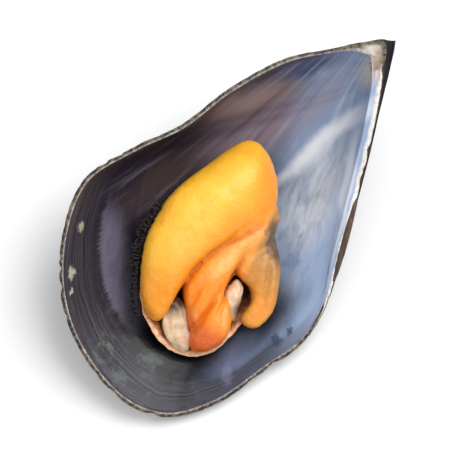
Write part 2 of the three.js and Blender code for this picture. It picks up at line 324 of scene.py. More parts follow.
def net_over(field, low, cell):
    """Points and quads over the surface where a field on a grid turns positive."""
    cells = np.array(field.shape) - 1
    total = np.zeros((*cells, 3))
    count = np.zeros(cells)
    crossings = []
    for axis in range(3):
        a = np.delete(field, -1, axis)
        b = np.delete(field, 0, axis)
        cross = (a > 0) != (b > 0)
        crossings.append((a, cross))
        share = np.where(cross, a / np.where(cross, a - b, 1), 0)
        u, v = [k for k in range(3) if k != axis]
        for du in (0, 1):
            for dv in (0, 1):
                cut = [slice(None)] * 3
                cut[u] = slice(du, du + cells[u])
                cut[v] = slice(dv, dv + cells[v])
                here = cross[tuple(cut)]
                total[..., axis] += share[tuple(cut)]
                total[..., u] += here * du
                total[..., v] += here * dv
                count += here
    used = count > 0
    index = np.full(cells, -1)
    index[used] = np.arange(used.sum())
    points = low + cell * (np.argwhere(used) + total[used] / count[used][:, None])
    quads = []
    for axis, (a, cross) in enumerate(crossings):
        u, v = (axis + 1) % 3, (axis + 2) % 3
        inner = [slice(None)] * 3
        inner[u] = slice(1, cells[u])
        inner[v] = slice(1, cells[v])
        at = np.argwhere(cross[tuple(inner)])
        at[:, [u, v]] += 1
        corners = []
        for du, dv in ((-1, -1), (0, -1), (0, 0), (-1, 0)):
            near = at.copy()
            near[:, u] += du
            near[:, v] += dv
            corners.append(index[tuple(near.T)])
        quad = np.stack(corners, 1)
        outside_first = a[tuple(at.T)] <= 0
        quad[outside_first] = quad[outside_first][:, ::-1]
        quads += quad.tolist()
    return points, quads


# ---- shader expressions -----------------------------------------------------------------------


class Wire:
    """A socket that can stand in sums. Each operation on it adds a node."""

    def __init__(self, paint, socket):
        self.paint = paint
        self.socket = socket

    def __add__(self, other):
        return self.paint.math("ADD", self, other)

    def __sub__(self, other):
        return self.paint.math("SUBTRACT", self, other)

    def __rsub__(self, other):
        return self.paint.math("SUBTRACT", other, self)

    def __mul__(self, other):
        return self.paint.math("MULTIPLY", self, other)

    def __truediv__(self, other):
        return self.paint.math("DIVIDE", self, other)

    def __rtruediv__(self, other):
        return self.paint.math("DIVIDE", other, self)

    def __abs__(self):
        return self.paint.math("ABSOLUTE", self)

    __radd__ = __add__
    __rmul__ = __mul__

    def clamped(self):
        return self.paint.node("ShaderNodeClamp", {}, {0: self})

    def between(self, low, high):
        """0 below low, 1 above high, smooth in between. low may be the larger of the two."""
        return self.paint.node(
            "ShaderNodeMapRange", {"interpolation_type": "SMOOTHSTEP"},
            {"Value": self, "From Min": low, "From Max": high})


class Paint:
    """One material and the nodes that its look is made of. A text value is a colour code."""

    def __init__(self, name):
        self.material = bpy.data.materials.new(name)
        self.material.use_nodes = True
        self.tree = self.material.node_tree
        self.tree.nodes.clear()

    def node(self, kind, settings, inputs, output=0):
        made = self.tree.nodes.new(kind)
        for key, value in settings.items():
            setattr(made, key, value)
        for key, value in inputs.items():
            if isinstance(value, Wire):
                self.tree.links.new(value.socket, made.inputs[key])
            else:
                made.inputs[key].default_value = rgba(tone(value)) if isinstance(value, str) else value
        return Wire(self, made.outputs[output] if made.outputs else None)

    def math(self, operation, *values):
        return self.node("ShaderNodeMath", {"operation": operation}, dict(enumerate(values)))

    def value(self, name):
        return self.node("ShaderNodeAttribute", {"attribute_name": name}, {}, "Fac")

    def place(self):
        return self.node("ShaderNodeAttribute", {"attribute_name": "place"}, {}, "Vector")

    def parts(self, vector):
        split = self.node("ShaderNodeSeparateXYZ", {}, {0: vector})
        return [Wire(self, output) for output in split.socket.node.outputs]

    def vector(self, x, y, z):
        return self.node("ShaderNodeCombineXYZ", {}, {0: x, 1: y, 2: z})

    def turned(self, vector, centre=(0, 0, 0), angle=0.0, scale=(1, 1, 1)):
        """Coordinates about a centre, along an angle, in units of scale."""
        rotation = (0, 0, math.radians(angle))
        return self.node(
            "ShaderNodeMapping", {"vector_type": "TEXTURE"},
            {"Vector": vector, "Location": centre, "Rotation": rotation, "Scale": scale})

    def noise(self, vector, scale, detail=3.0, rough=0.55):
        return self.node(
            "ShaderNodeTexNoise", {},
            {"Vector": vector, "Scale": scale, "Detail": detail, "Roughness": rough})

    def jitter(self, vector, scale, amount):
        """The same coordinates, pushed about by noise."""
        push = self.node(
            "ShaderNodeTexNoise", {}, {"Vector": vector, "Scale": scale, "Detail": 3.0}, "Color")
        centred = self.node(
            "ShaderNodeVectorMath", {"operation": "SUBTRACT"}, {0: push, 1: (0.5, 0.5, 0.5)})
        return self.node(
            "ShaderNodeVectorMath", {"operation": "MULTIPLY_ADD"},
            {0: centred, 1: (amount, amount, amount), 2: vector})

    def length(self, vector):
        return self.node("ShaderNodeVectorMath", {"operation": "LENGTH"}, {0: vector}, "Value")

    def spot(self, vector, x, y, long, wide, angle, soft):
        """1 in an oval about a place, fading out over the soft share of its size."""
        far = self.length(self.turned(vector, (x, y, 0), angle, (long, wide, 1000)))
        return far.between(1.0, 1.0 - soft)

    def mix(self, factor, under, over):
        """under where factor is 0, and over where it is 1."""
        return self.node(
            "ShaderNodeMix", {"data_type": "RGBA"}, {0: factor, 6: under, 7: over}, 2)

    def with_ovals(self, under, vector, ovals):
        """under with colour ovals, stains and painted shade and highlights: x, y, length, width, angle,
        soft share, strength, colour.
        """
        for *oval, strength, code in ovals:
            under = self.mix(self.spot(vector, *oval) * strength, under, code)
        return under

    def bump(self, height, distance, strength):
        return self.node(
            "ShaderNodeBump", {}, {"Height": height, "Distance": distance, "Strength": strength})

    def finish(self, inputs):
        shader = self.node("ShaderNodeBsdfPrincipled", {}, inputs)
        self.node("ShaderNodeOutputMaterial", {}, {"Surface": shader})
        return self.material


def tone(code):
    """A linear colour from a web colour code."""
    parts = [int(code[k:k + 2], 16) / 255 for k in (0, 2, 4)]
    return tuple(c / 12.92 if c <= 0.04045 else ((c + 0.055) / 1.055) ** 2.4 for c in parts)


def rgba(colour):
    return (*colour[:3], 1.0)


# ---- settings ---------------------------------------------------------------------------------


def colour_setting(name, description, code):
    return FloatVectorProperty(
        name=name, description=description, subtype="COLOR", size=3, min=0, max=1, default=tone(code))


class MusselValveSettings(bpy.types.PropertyGroup):
    steps: IntProperty(name="Steps round the rim", description="Points round each growth ring",
                       default=430, min=64, max=600)
    outside_rings: IntProperty(name="Outside rings", description="Growth rings on the outside",
                               default=84, min=20, max=200)
    hollow_rings: IntProperty(name="Hollow rings", description="Growth rings in the hollow",
                              default=118, min=20, max=200)
    nacre: colour_setting("Nacre", "The pale streak along the hinge side", "e2eaf1")
    blue: colour_setting("Blue", "The hollow's pale blue half", "8d9dba")
    slate: colour_setting("Slate", "The hollow's dark half", "2b2630")
    periostracum: colour_setting("Periostracum", "The brown skin at the rim", "5a4a38")
    outside: colour_setting("Outside", "The outside's blue-black", "0e1019")
    chip_depth: FloatProperty(name="Chip depth", description="How deep the rim's chips are",
                              default=0.00045, min=0, max=0.001, unit="LENGTH")


class MusselMeatSettings(bpy.types.PropertyGroup):
    fineness: FloatProperty(name="Fineness", description="The size of the meat's mesh cells",
                            default=0.00024, min=0.0001, max=0.001, unit="LENGTH")
    yellow: colour_setting("Yellow", "The mantle lobe's light side", "fcb826")
    orange: colour_setting("Orange", "The mantle lobe's hinge side", "f5900c")
    deep_orange: colour_setting("Deep orange", "The low end of the body", "d65604")
    cream: colour_setting("Cream", "The muscle and the gill fold", "e2cbaa")
    peach: colour_setting("Peach", "The skirt's free edge", "e6a373")
    # On the skirt this dark is painted shade under the meat; the fringe has it as its own colour.
    dark: colour_setting("Dark", "The fringe and the skirt's underside", "1d1517")


class MusselStageSettings(bpy.types.PropertyGroup):
    floor: colour_setting("Floor", "The plain pale floor", "f4f4f4")
    lens: FloatProperty(name="Lens", description="The camera's focal length, in millimetres",
                        default=150.0, min=35, max=300, unit="CAMERA")
    fill: FloatProperty(name="Fill", description="The share of the picture that the mussel fills",
                        default=0.84, min=0.2, max=1.0, subtype="FACTOR")


# ---- the valve --------------------------------------------------------------------------------

RIM_ROUNDING = 0.14  # how far the rim's corners are worn down
RIM_WAVE = 0.12  # how far the rim rises and falls
RINGS_CROWD = 1.08  # above 1, the outside's rings crowd towards the rim
EDGE_ROWS = np.array([0.07, 0.16, 0.28, 0.4, 0.52, 0.64, 0.76, 0.86, 0.94])
CHIP_REACH = 0.965  # ring size where the chips begin
CHIPS = 26
CHIP_WIDTH = (0.002, 0.007)  # in turns round the rim
CHIP_DEPTH = (0.25, 1.0)
RAGGED_RIM = 0.35
RIDGE_DEPTH = 0.11
RIDGE_SWAY = 0.36
RIDGES = ((11, 0.5, 1, 0), (23, 0.3, 2, 1.3), (41, 0.25, -1, 0))  # count, height, sway, shift
RIDGES_LEAN_TO = np.array([40, -3, 0])
HINGE_GROOVE = 0.32  # depth of the groove along the hinge edge


def rim_chips(rim):
    """How far the rim is broken back at each point, about 1 for a deep chip."""
    random = np.random.default_rng(5)
    where = random.uniform(0, 1, CHIPS)
    width = random.uniform(*CHIP_WIDTH, CHIPS)
    depth = random.uniform(*CHIP_DEPTH, CHIPS)
    around = np.linspace(0, 1, len(rim), endpoint=False)
    away = (around[:, None] - where + 0.5) % 1 - 0.5
    chips = (depth * np.exp(-((away / width) ** 2))).max(1)
    ragged = np.abs(ripple(rim, 0.9, 3))
    return chips + RAGGED_RIM * ragged


def valve_surface(settings):
    """Points of the whole valve and, for each, its ring size, place round the rim and side."""
    steps = settings.steps
    rim = closed_outline(RIM, steps)
    around = np.linspace(0, 1, steps, endpoint=False)
    chips = rim_chips(rim) * settings.chip_depth / MM
    broken = rim + inward(rim) * chips[:, None]
    low_rim = ripple(rim, 0.35, 8)
    outside_sizes = 1 - (1 - np.linspace(SMALLEST_RING, 1, settings.outside_rings)) ** RINGS_CROWD
    hollow_sizes = np.linspace(1, SMALLEST_HOLLOW_RING, settings.hollow_rings)

    def rings(outline, chipped, beak, sizes, depth):
        whole = growth_rings(outline, beak, sizes, depth)
        cut = growth_rings(chipped, beak, sizes, depth)
        near = smoothstep(sizes, CHIP_REACH, 1)[:, None, None]
        made = whole * (1 - near) + cut * near
        made[..., 2] -= (RIM_ROUNDING + RIM_WAVE * (1 + low_rim)) * near[..., 0] ** 2
        return made

    outside = rings(rim, broken, BEAK, outside_sizes, 1)
    hollow = rings(hollow_rim(rim), hollow_rim(rim), HOLLOW_BEAK, hollow_sizes, HOLLOW_DEPTH)

    # The outside's growth ridges, pushed in towards the hollow.
    sway = RIDGE_SWAY * np.sin(2 * math.pi * around)[None]
    phase = outside_sizes[:, None] ** 1.4 * 2 * math.pi
    ridges = sum(
        height * np.sin(phase * number + swayed * sway + shift)
        for number, height, swayed, shift in RIDGES)
    inwards = RIDGES_LEAN_TO - outside
    inwards /= np.linalg.norm(inwards, axis=2)[..., None]
    fade = smoothstep(outside_sizes, 0.1, 0.3) * (1 - smoothstep(outside_sizes, 0.985, 1))
    outside += inwards * (RIDGE_DEPTH * (ridges + 1) * fade[:, None])[..., None]

    # The edge between outside and hollow, with a groove along it on the hinge side.
    from_hinge = (rim - BEAK) @ belly
    on_hinge = np.exp(-((from_hinge / HINGE_REACH) ** 2)) * (rim[:, 0] > 4)
    rows = []
    for share in EDGE_ROWS:
        row = outside[-1] * (1 - share) + hollow[0] * share
        round_over = RIM_ROUNDING * (1 - math.sqrt(1 - (2 * share - 1) ** 2))
        groove = HINGE_GROOVE * math.exp(-(((share - 0.58) / 0.11) ** 2))
        row[:, 2] = -round_over - RIM_WAVE * (1 + low_rim) - groove * on_hinge
        rows.append(row)
    edge = np.array(rows)

    points, faces = closed_skin(np.concatenate([outside, edge, hollow]))
    sizes = np.concatenate([outside_sizes, np.ones(len(edge)), hollow_sizes])
    side = np.concatenate([-np.ones(len(outside)), 2 * EDGE_ROWS - 1, np.ones(len(hollow))])
    values = {
        "growth": np.append(np.repeat(sizes, steps), [0, 0]),
        "around": np.append(np.tile(around, len(sizes)), [0, 0]),
        "side": np.append(np.repeat(side, steps), [-1, 1]),
    }
    return points, faces, values


def worn_flat(points):
    """Points of the shell's frame, none of them below the table."""
    laid = lay_down(points)
    laid[:, 2] = np.maximum(laid[:, 2], 0)
    return (laid - REST_SHIFT) @ REST_TURN / MM


# Ovals in the shell's frame, real stains and, about the meat, painted shade: x, y, length, width, angle,
# soft share, strength, colour.
LINING_STAINS = (
    (44, 9, 22, 10, 18, 0.9, 0.75, "93a7c4"),  # the pale hinge half
    (24, -8, 17, 7.5, -24, 0.8, 0.95, "87757e"),  # mauve brown towards the belly
    (21, -11.2, 12, 3.0, -28, 0.8, 0.85, "93786c"),
    (14, -2.4, 11, 3.2, -8, 0.9, 0.7, "a39dae"),  # lilac and indigo near the beak
    (11, -7.4, 8.5, 2.2, -38, 0.8, 0.85, "353c60"),
    (41, -15, 15, 4.6, -12, 0.9, 0.7, "54443f"),
    (59, 12.5, 14, 5.0, -14, 0.8, 0.75, "7484a6"),
)
NACRE_STREAKS = (
    (20, 2.6, 15, 2.0, -11, 0.9, 0.95, "eef3f7"),
    (25, 10.4, 16, 1.0, 25, 0.8, 0.45, "e8eef4"),
)
# Near-black ovals by the meat: painted shade from the meat, over a dark wet stain.
SHADE_AND_STAIN_ABOUT_MEAT = (
    (49, 13.2, 11, 4.8, -4, 0.9, 0.92, "141a2c"),
    (65, 3, 11, 12, 0, 0.8, 0.85, "0b0b10"),
)
SPECKS = (
    (56.3, -21.6, 1.2, 0.7, 30, 0.6, 0.6, "c9c0a6"),  # chalky specks near the belly rim
    (63.4, -18.2, 1.5, 0.8, 30, 0.6, 0.6, "cfc9b8"),
    (65.8, -16.4, 0.9, 0.5, 30, 0.6, 0.5, "d9d2c2"),
    (49, 16.6, 1.1, 0.8, 30, 0.6, 0.75, "1c2a4c"),  # blue specks near the hinge rim
    (51.5, 15.6, 1.5, 1.2, 30, 0.6, 0.7, "1c2a4c"),
    (61, 12.6, 2.6, 1.1, 30, 0.6, 0.3, "8d86a4"),  # a faint lilac one
    (3.6, 1.3, 2.2, 1.3, 30, 0.6, 0.8, "6a4a34"),  # the brown inside of the beak
)
ROUND_MARK = (70.5, -6, 0)
ROUND_MARK_RADIUS = 1.5


class ShellPaint(Paint):
    """The valve's paint: its growth lines, and the colours of its lining, outside and edge."""

    def __init__(self, settings):
        super().__init__("wet shell")
        self.settings = settings
        self.growth, self.around, self.side = map(self.value, ("growth", "around", "side"))
        self.still = self.place()
        self.wavy = self.jitter(self.still, 0.12, 3.2)
        self.x, self.y, _ = self.parts(self.wavy)
        self.across = (self.x - BEAK[0]) * belly[0] + (self.y - BEAK[1]) * belly[1]
        along = (self.x - BEAK[0]) * hinge[0] + (self.y - BEAK[1]) * hinge[1]

        # Fine lines that follow the growth rings, wandering a little.
        self.wander = self.noise(self.still, 0.16, 3.0)
        ring_place = self.vector(self.growth * 60 + self.wander * 1.6, along * 0.02, 0.0)
        self.ring_line = self.noise(ring_place, 1.0, 4.0, 0.65)
        fine_place = self.vector(self.growth * 170 + self.wander * 4, along * 0.03, 4.0)
        self.fine_line = self.noise(fine_place, 1.0, 3.0, 0.6)

        # Streaks and rays along the hollow, and ribs that fan out from the beak.
        self.streaks = self.noise(
            self.turned(self.wavy, (0, 0, 0), 24.0, (5.5, 0.8, 1)), 0.9, 4.0, 0.62)
        self.rays = self.noise(
            self.turned(self.wavy, (0, 0, 0), 38.0, (7, 1.2, 1)), 0.5, 5.0, 0.6)
        still_x, still_y, _ = self.parts(self.still)
        beside = still_x * belly[0] + still_y * belly[1]
        fan = beside / (still_x * hinge[0] + still_y * hinge[1] + 9)
        rib_place = self.vector(fan * 20 + self.wander * 0.8, along * 0.04, 2.0)
        self.ribs = self.noise(rib_place, 1.0, 4.0, 0.55)

        self.cloud = self.noise(self.still, 0.11, 4.0, 0.55)
        self.grain = self.noise(self.still, 2.2, 4.0, 0.6)
        self.dark_half = (self.across + self.cloud * 8).between(12.5, 24.0)
        self.margin = (self.growth + (self.wander - 0.5) * 0.04).between(0.9, 0.945)

    def lining(self):
        """Pale blue towards the hinge and slate towards the belly, ribbed, with nacre over it."""
        colour = self.mix(self.dark_half, rgba(self.settings.blue), rgba(self.settings.slate))
        colour = self.with_ovals(colour, self.wavy, LINING_STAINS)
        ribbed = self.growth.between(0.95, 0.82) * 0.38
        light_rib = self.mix(self.dark_half, "c9d5e4", "93879a")
        dark_rib = self.mix(self.dark_half, "647a9f", "1b1820")
        colour = self.mix(self.ribs.between(0.5, 0.7) * ribbed, colour, light_rib)
        colour = self.mix(self.ribs.between(0.48, 0.3) * ribbed, colour, dark_rib)
        nacre = self.spot(self.wavy, 28, 6.6, 15, 5.6, 14, 0.85) * ((self.streaks - 0.5) * 1.5 + 0.6)
        colour = self.mix(nacre.clamped(), colour, rgba(self.settings.nacre))
        colour = self.with_ovals(colour, self.wavy, NACRE_STREAKS)
        blue_grey = self.rays.between(0.5, 0.68) * self.spot(self.wavy, 44, 9, 24, 9, 18, 0.5)
        colour = self.mix(blue_grey * 0.55, colour, "60779d")
        lines = self.ring_line.between(0.42, 0.75) * self.dark_half
        return self.mix(lines * 0.22, colour, "5d5563")

    def shade_and_stain_about_meat(self, under):
        """Near-black about the meat: painted shade that the meat casts on the hollow, over a dark wet
        stain.
        """
        # Painted shade about the meat, partly a dark wet stain.
        shade_about_meat = self.spot(self.wavy, 55, -0.5, 21, 16.5, 6, 0.55) * self.x.between(36, 46)
        under = self.mix(shade_about_meat * 0.96, under, "0b0a10")
        return self.with_ovals(under, self.wavy, SHADE_AND_STAIN_ABOUT_MEAT)

    def mantle_scar(self, under):
        """The band where the mantle was fastened, with a comb-like outer edge."""
        comb = self.noise(self.vector(self.around * 420, self.growth * 3, 0.0), 1.0, 2.0)
        band = self.growth + (comb - 0.5) * 0.035
        shown = self.spot(self.still, 58, -13.5, 14, 8, 55, 0.6)
        scar = band.between(0.79, 0.84) * band.between(0.897, 0.88) * shown
        return self.mix(scar * (0.35 + self.streaks * 0.6), under, "767184")

    def layered_margin(self, under):
        """The grey margin with its fine layers, and brown skin on its belly side."""
        layers = self.mix(self.fine_line.between(0.35, 0.7), "24242b", "4d4a52")
        layers = self.mix(self.ring_line.between(0.56, 0.66) * 0.5, layers, "5c5049")
        under = self.mix(self.margin * self.x.between(40, 56) * 0.85, under, layers)
        skin = self.growth.between(0.93, 0.975) * self.across.between(9, 16) * self.x.between(58, 40)
        brown = rgba(self.settings.periostracum)
        skin_tone = self.mix(self.fine_line.between(0.38, 0.62), "3a3030", brown)
        return self.mix(skin * 0.9, under, skin_tone)

    def small_marks(self, under):
        """Grey-green patches at the wide end, the pale beak, specks and a round mark."""
        patches = self.noise(self.still, 0.22, 4.0, 0.7).between(0.5, 0.68)
        patches = patches * self.spot(self.still, 70, 0, 7, 16, 8, 0.6)
        under = self.mix(patches * 0.28, under, "7c8884")
        under = self.mix(self.spot(self.still, 3, 1.2, 6, 3.2, 15, 0.7) * 0.8, under, "d5ccc0")
        under = self.with_ovals(under, self.jitter(self.still, 1.1, 1.7), SPECKS)
        from_mark = self.length(self.turned(self.still, ROUND_MARK, 0, (1, 1, 1000)))
        ring = abs(from_mark - ROUND_MARK_RADIUS).between(0.55, 0.1) * self.grain.between(0.35, 0.65)
        return self.mix(ring * 0.3, under, "7f8f74")

    def outer(self):
        """Blue-black with growth lines, browner near the rim, rubbed pale at the beak."""
        colour = self.mix(self.ring_line.between(0.35, 0.7), rgba(self.settings.outside), "20222f")
        colour = self.mix(self.fine_line.between(0.5, 0.7) * 0.4, colour, "3d3028")
        near_rim = (self.growth + self.cloud * 0.12).between(1.0, 1.07)
        colour = self.mix(near_rim * 0.8, colour, rgba(self.settings.periostracum))
        worn = self.growth + (self.cloud - 0.5) * 0.35 + (self.grain - 0.5) * 0.2
        return self.mix(worn.between(0.19, 0.05) * 0.8, colour, "857e8a")

    def edge(self, lining):
        """Brown skin on the edge's outer part and a pale line on its inner part."""
        speckle = self.noise(self.still, 1.3, 4.0, 0.7)
        outer_part = self.mix(speckle.between(0.42, 0.62), "2c231c", "74684f")
        inner_part = self.mix(speckle.between(0.35, 0.75), "6f6872", "c2bab4")
        colour = self.mix(self.side.between(0.0, 0.6), outer_part, inner_part)

        # Along the hinge a pale ridge runs between the brown skin and the lining.
        on_hinge = self.across.between(7.0, 3.0) * self.x.between(50, 40) * self.y.between(1.0, 3.0)
        ridge = self.mix(speckle.between(0.3, 0.7), "c9c2b8", "efece8")
        ridge = self.mix(self.side.between(-0.8, -0.55), "38291e", ridge)
        ridge = self.mix(self.side.between(-0.15, 0.2), ridge, lining)
        colour = self.mix(on_hinge, colour, ridge)
        at_beak = self.spot(self.still, 1.8, 0.8, 6.5, 4.5, 20, 0.5) * self.side.between(-0.6, -0.1)
        rubbed = self.mix(self.cloud.between(0.35, 0.6), "8d7460", "d8d0c4")
        return self.mix(at_beak * 0.85, colour, rubbed)


def shell_paint(settings):
    """Nacre, slate and growth lines in the hollow, blue-black outside, brown skin at the rim."""
    p = ShellPaint(settings)
    lining = p.small_marks(p.layered_margin(p.mantle_scar(p.shade_and_stain_about_meat(p.lining()))))
    colour = p.mix(p.side.between(0.9, 0.985), p.edge(lining), lining)
    on_outside = p.side.between(-0.9, -0.99)
    colour = p.mix(on_outside, colour, p.outer())

    in_hollow = p.side.between(0.9, 1.0)
    lines = p.ring_line * 0.5 + p.fine_line * 0.35 + p.grain * 0.12
    lined = (p.margin * 0.8 + (1 - in_hollow) * 0.9 + p.dark_half * 0.25 + 0.08).clamped()
    height = lines * lined * 0.35 + p.noise(p.still, 0.22, 2.0) * 0.35
    return p.finish({
        "Base Color": colour,
        "Roughness": 0.24 + p.grain * 0.16 + on_outside * 0.28 + (1 - in_hollow) * 0.1,
        "Coat Weight": in_hollow * 0.05 + 0.05,
        "Coat Roughness": 0.08,
        "Coat IOR": 1.36,
        "Normal": p.bump(height, 0.0011, 0.55),
        "IOR": 1.33,
    })


# ---- the ligament -----------------------------------------------------------------------------


LIGAMENT_RINGS = 90
LIGAMENT_SIDES = 28
LIGAMENT_BLUNT = 0.75  # below 1, the strip's section is squarer than an oval
LIGAMENT_FRAY = 0.12
LIGAMENT_WORN = 0.08


def ligament_surface():
    """A blunt strip along the hinge margin, thin at both ends."""
    margin = closed_outline(RIM, 8 * SOLID_RIM_STEPS)
    far = np.linalg.norm(margin, axis=1)
    margin = margin[(margin[:, 1] > 0) & (far > LIGAMENT_FROM) & (far < LIGAMENT_TO)]
    margin = margin[np.argsort(np.linalg.norm(margin, axis=1))]
    share = np.linspace(0, 1, LIGAMENT_RINGS)
    number = np.arange(len(margin))
    line = np.stack([np.interp(share * number[-1], number, margin[:, k]) for k in (0, 1)], 1)
    from_end = np.minimum(share, 1 - share)
    taper = LIGAMENT_ENDS + (1 - LIGAMENT_ENDS) * np.sqrt(np.sin(math.pi * from_end))
    fray = 1 + LIGAMENT_FRAY * ripple(line, 0.9, 2)
    wide = LIGAMENT_WIDTH / 2 * taper * fray
    tall = LIGAMENT_HEIGHT / 2 * taper
    angle = -2 * math.pi * (np.arange(LIGAMENT_SIDES) + 0.5) / LIGAMENT_SIDES
    cos = np.sign(np.cos(angle)) * np.abs(np.cos(angle)) ** LIGAMENT_BLUNT
    sin = np.sign(np.sin(angle)) * np.abs(np.sin(angle)) ** LIGAMENT_BLUNT
    centre = line + belly * (LIGAMENT_WIDTH / 2 - LIGAMENT_OVERHANG)
    points = np.empty((LIGAMENT_RINGS, LIGAMENT_SIDES, 3))
    points[..., :2] = centre[:, None] + belly * wide[:, None, None] * cos[:, None]
    points[..., 2] = LIGAMENT_PROUD - LIGAMENT_HEIGHT / 2 + tall[:, None] * sin
    rough = ripple(points.reshape(-1, 3), 1.4, 4).reshape(points.shape[:2])
    points[..., 2] -= LIGAMENT_WORN * (1 + rough) * (sin > 0)
    return closed_skin(points)


def ligament_paint():
    """Dark brown, fibrous, a little glossy."""
    p = Paint("ligament brown")
    place = p.place()
    fibres = p.noise(p.turned(place, (0, 0, 0), HINGE_ANGLE, (6, 0.25, 0.6)), 1.0, 4.0, 0.6)
    blotch = p.noise(place, 0.8, 3.0)
    colour = p.mix(fibres.between(0.35, 0.7), "23140d", "5d3a22")
    colour = p.mix(blotch.between(0.6, 0.75) * 0.5, colour, "8a6a4c")
    return p.finish({
        "Base Color": colour,
        "Roughness": 0.38 + blotch * 0.2,
        "Coat Weight": 0.3,
        "Normal": p.bump(fibres, 0.0004, 0.7),
    })


# ---- the meat ---------------------------------------------------------------------------------


def tree_of(points, quads):
    return BVHTree.FromPolygons([Vector(q) for q in points.tolist()], quads)


def height_under(tree, x, y, missing):
    """The height of the first surface met coming down at each place."""
    down = Vector((0, 0, -1))
    heights = np.full(x.shape, float(missing))
    for at in np.ndindex(x.shape):
        hit = tree.ray_cast(Vector((x[at], y[at], 20.0)), down)[0]
        if hit is not None:
            heights[at] = hit.z
    return heights


def hollow_tree():
    steps, rings = 160, 60
    rim = hollow_rim(closed_outline(RIM, steps))
    size = np.linspace(1, SMALLEST_HOLLOW_RING, rings)
    points = growth_rings(rim, HOLLOW_BEAK, size, HOLLOW_DEPTH).reshape(-1, 3)
    return tree_of(points, ring_faces(rings, steps))


SKIRT_STEPS = 260
SKIRT_ROWS = 46
SKIRT_THICKNESS = 0.75
SKIRT_EDGE = 0.3  # thickness of the free edge
SKIRT_GAP = 0.25  # between the skirt and the hollow's floor
FRILL_IN = 0.18  # how far the broad frill draws the edge in, and the fine frill
FINE_FRILL_IN = 0.1
FRILL_UP = 0.25  # how far they raise and lower it
FINE_FRILL_UP = 0.12


def skirt_surface(floor):
    """A thin dish on the hollow's floor, whose frilled edge turns up to the lip."""
    edge = closed_outline(SKIRT_OUTLINE, SKIRT_STEPS)
    frill = ripple(edge, 0.55, 6)
    fine_frill = ripple(edge, 1.6, 9)
    drawn_in = FRILL_IN * (1 + frill) + FINE_FRILL_IN * (1 + fine_frill)
    edge = edge + inward(edge) * drawn_in[:, None]
    share = np.sin(np.linspace(1 / SKIRT_ROWS, 1, SKIRT_ROWS) * math.pi / 2)
    at = SKIRT_CENTRE + (edge[None] - SKIRT_CENTRE) * share[:, None, None]
    rest = height_under(floor, at[..., 0], at[..., 1], SKIRT_LIP) + SKIRT_GAP
    low = 1 - smoothstep(at[..., 0], SKIRT_OUTLINE[0][0], SKIRT_CENTRE[0])
    rise = smoothstep(share, SKIRT_TURNS_UP, 1)[:, None] ** 1.5
    lip = SKIRT_LIP - SKIRT_LIP_DROP * low - SKIRT_THICKNESS
    under = rest + np.maximum(0, lip - rest) * rise
    under += (FRILL_UP * (frill - 1) + FINE_FRILL_UP * fine_frill) * rise
    thin = SKIRT_THICKNESS + (SKIRT_EDGE - SKIRT_THICKNESS) * smoothstep(share, 0.85, 1)[:, None]
    lower = np.dstack([at, under])
    upper = np.dstack([at, under + thin])[::-1]
    points, faces = closed_skin(np.concatenate([lower, upper]))
    values = {
        "reach": np.append(np.repeat(np.append(share, share[::-1]), SKIRT_STEPS), [0, 0]),
        "top": np.append(np.repeat([0, 1], SKIRT_ROWS * SKIRT_STEPS), [0, 1]),
    }
    return points, faces, values


def skirt_paint(settings):
    """Peach at the lip and brown inside it; painted shade makes it near-black under the lobes, below and
    towards the beak.
    """
    p = Paint("mantle skirt")
    reach, top, place = p.value("reach"), p.value("top"), p.place()
    x, _, _ = p.parts(place)
    mottle = p.noise(place, 0.8, 4.0, 0.6)
    fibres = p.noise(p.turned(place, (*SKIRT_CENTRE, 0)), 2.2, 3.0)
    inner = p.mix(mottle.between(0.35, 0.65), "8a4a2c", "c98a5e")
    # Near-black under the lobes, seen in the gaps between them: painted shade.
    inner = p.mix(reach.between(0.88, 0.6) * 0.85, inner, "2a1713")
    lip = p.mix(fibres.between(0.35, 0.7), rgba(settings.peach), "efc190")
    upper = p.mix(reach.between(0.925, 0.975), inner, lip)
    # Darker towards the beak, under the lobe's end: painted shade.
    upper = p.mix(x.between(54, 46) * 0.75, upper, rgba(settings.dark))
    # The underside is dark but for the lip's free edge: painted shade under the meat.
    lower = p.mix(reach.between(0.972, 0.995) * x.between(46, 56), rgba(settings.dark), lip)
    colour = p.mix(top, lower, upper)
    return p.finish({
        "Base Color": colour,
        "Roughness": 0.28 + mottle * 0.15,
        "Coat Weight": 0.6,
        "Coat Roughness": 0.06,
        "Subsurface Weight": 0.25,
        "Subsurface Radius": (0.002, 0.0008, 0.0004),
        "Subsurface Scale": 0.6,
        "Normal": p.bump(mottle + fibres * 0.5, 0.0005, 0.5),
    })


def outline_distance(outline, x, y):
    """How far each place lies inside a closed outline. Outside it is negative."""
    a = closed_outline(outline, 110)
    b = np.roll(a, -1, 0)
    place = np.stack([x, y], -1)[..., None, :]
    along = b - a
    share = np.clip(((place - a) * along).sum(-1) / (along**2).sum(-1), 0, 1)
    away = np.linalg.norm(place - a - share[..., None] * along, axis=-1).min(-1)
    above = (a[:, 1] > y[..., None]) != (b[:, 1] > y[..., None])
    rise = np.where(b[:, 1] == a[:, 1], 1, b[:, 1] - a[:, 1])
    left = x[..., None] < a[:, 0] + (y[..., None] - a[:, 1]) * along[:, 0] / rise
    inside = (above & left).sum(-1) % 2 == 1
    return np.where(inside, away, -away)


SWELL_ROUNDS = 500


def swell(distance, cell):
    """How a skin blown up over the outline would stand, 1 at its highest; negative outside."""
    inside = distance > 0
    widest = distance.max()
    height = np.where(inside, distance * (widest - distance / 2), 0)
    for _ in range(SWELL_ROUNDS):
        around = height[2:, 1:-1] + height[:-2, 1:-1] + height[1:-1, 2:] + height[1:-1, :-2]
        height[1:-1, 1:-1] = np.where(inside[1:-1, 1:-1], (around + cell**2) / 4, 0)
    return np.where(inside, height / height.max(), distance / widest)


